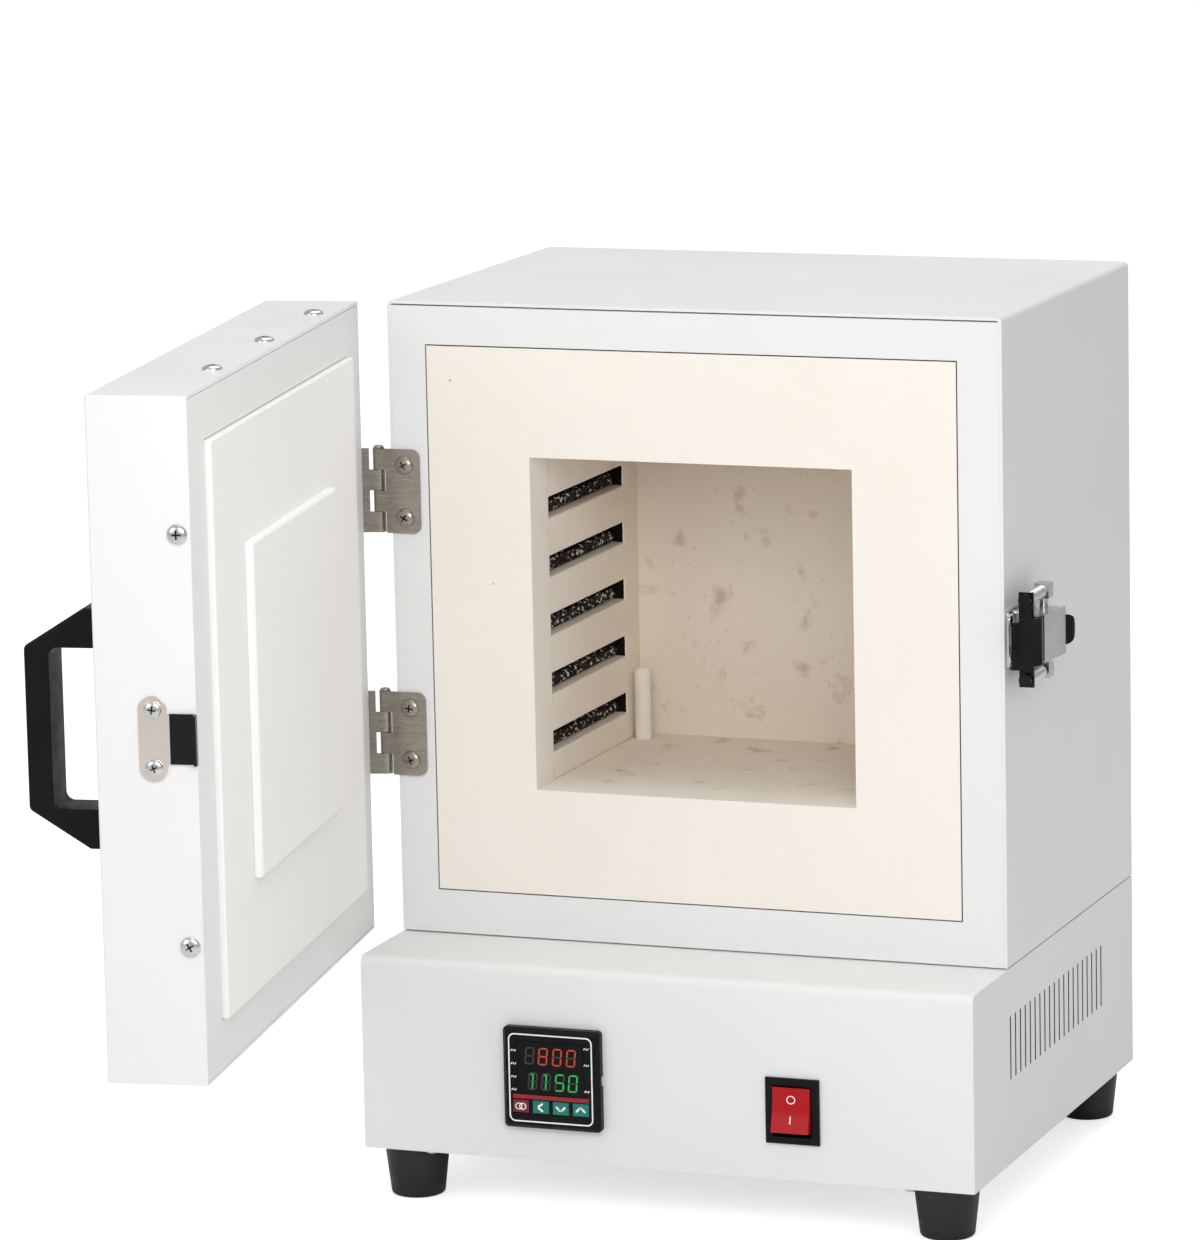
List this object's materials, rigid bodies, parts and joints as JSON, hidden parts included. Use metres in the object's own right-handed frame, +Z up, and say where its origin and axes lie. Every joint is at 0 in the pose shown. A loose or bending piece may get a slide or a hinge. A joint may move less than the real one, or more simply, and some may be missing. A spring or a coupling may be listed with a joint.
{
  "type": "muffle furnace",
  "caption": "Small bench-top muffle furnace: box housing with refractory chamber, side-hinged door standing open, draw latch, and base with temperature controller and rocker switch.",
  "frame": {"origin": "on the bench plane, in the middle of the four feet", "axes": "+X to the furnace's right seen from the front, +Y to the back, +Z up; the front faces -Y"},
  "size_m": [0.379, 0.5198, 0.4212],
  "materials": {
    "coat_white": "fine satin powder coat",
    "refractory": "matt vacuum-formed fibre board",
    "fibre_blanket": "matt fibre blanket",
    "heating_wire": "dark oxidised resistance wire",
    "white_ceramic": "matt fired",
    "satin_steel": "satin nickel",
    "bright_steel": "bright plated",
    "black_plastic": "fine-textured",
    "black_gloss": "smoked window",
    "black_rubber": "matt",
    "rocker_red": "translucent red",
    "key_dark_red": "satin film",
    "key_teal": "satin film"
  },
  "bodies": {
    "housing": {"back_board": "refractory", "base_back_panel": "coat_white", "base_bottom_plate": "coat_white", "base_casing": "coat_white", "controller_case": "black_plastic", "controller_clamp": "black_plastic", "controller_window": "black_gloss", "element_board_left": "refractory", "element_board_right": "refractory", "feet": "black_rubber", "foot_bolts": "bright_steel", "front_board": "refractory", "hearth_board": "refractory", "heating_coils_left": "heating_wire", "heating_coils_right": "heating_wire", "hinge_fixed_leaves": "satin_steel", "hinge_pins": "satin_steel", "hinge_screws_housing": "satin_steel", "housing_back_panel": "coat_white", "housing_floor_plate": "coat_white", "housing_front_frame": "coat_white", "housing_wrapper": "coat_white", "inlet_pins": "satin_steel", "inlet_screws": "bright_steel", "insulation_back": "fibre_blanket", "insulation_bottom": "fibre_blanket", "insulation_left": "fibre_blanket", "insulation_right": "fibre_blanket", "insulation_top": "fibre_blanket", "latch_base": "bright_steel", "latch_pivot_pin": "bright_steel", "latch_rivets": "bright_steel", "panel_screws": "bright_steel", "power_inlet": "black_plastic", "roof_board": "refractory", "switch_body": "black_plastic", "thermocouple_head": "white_ceramic", "thermocouple_sheath": "white_ceramic"},
    "door": {"door_shell": "coat_white", "door_inner_frame": "coat_white", "door_board": "refractory", "door_plug": "refractory", "door_insulation": "fibre_blanket", "door_screws": "bright_steel", "door_handle": "black_plastic", "keeper": "bright_steel", "keeper_screws": "bright_steel", "hinge_door_leaves": "satin_steel", "hinge_screws_door": "satin_steel"},
    "rocker": {"rocker": "rocker_red"},
    "key_set": {"key_set": "key_dark_red"},
    "key_shift": {"key_shift": "key_teal"},
    "key_down": {"key_down": "key_teal"},
    "key_up": {"key_up": "key_teal"},
    "latch_lever": {"latch_lever": "bright_steel", "latch_grip": "black_plastic"},
    "latch_claw": {"latch_claw": "bright_steel", "latch_rods": "bright_steel", "latch_springs": "bright_steel", "latch_trunnion": "bright_steel"}
  },
  "joints": [
    {"name": "door_hinge", "type": "hinge", "parent": "housing", "child": "door", "pos_m": [-0.1568, -0.0759, 0.2695], "axis": [0, 0, 1], "range_deg": [-99, 81]},
    {"name": "switch_rocker", "type": "hinge", "parent": "housing", "child": "rocker", "pos_m": [0.0633, -0.129, 0.058], "axis": [1, 0, 0], "range_deg": [0, 20]},
    {"name": "latch_lever_pivot", "type": "hinge", "parent": "housing", "child": "latch_lever", "pos_m": [0.157, -0.0635, 0.271], "axis": [0, 0, -1], "range_deg": [-7, 95]},
    {"name": "latch_claw_pivot", "type": "hinge", "parent": "latch_lever", "child": "latch_claw", "pos_m": [0.1585, -0.0435, 0.271], "axis": [0, 0, -1], "range_deg": [-95, 7]},
    {"name": "key_set_press", "type": "slide", "parent": "housing", "child": "key_set", "axis": [0, 1, 0], "range_m": [0, 0.0005], "stiffness_N_per_m": 500},
    {"name": "key_shift_press", "type": "slide", "parent": "housing", "child": "key_shift", "axis": [0, 1, 0], "range_m": [0, 0.0005], "stiffness_N_per_m": 500},
    {"name": "key_down_press", "type": "slide", "parent": "housing", "child": "key_down", "axis": [0, 1, 0], "range_m": [0, 0.0005], "stiffness_N_per_m": 500},
    {"name": "key_up_press", "type": "slide", "parent": "housing", "child": "key_up", "axis": [0, 1, 0], "range_m": [0, 0.0005], "stiffness_N_per_m": 500}
  ],
  "couplings": [
    {"joint": "latch_claw_pivot", "follows": "latch_lever_pivot", "ratio": -1}
  ]
}
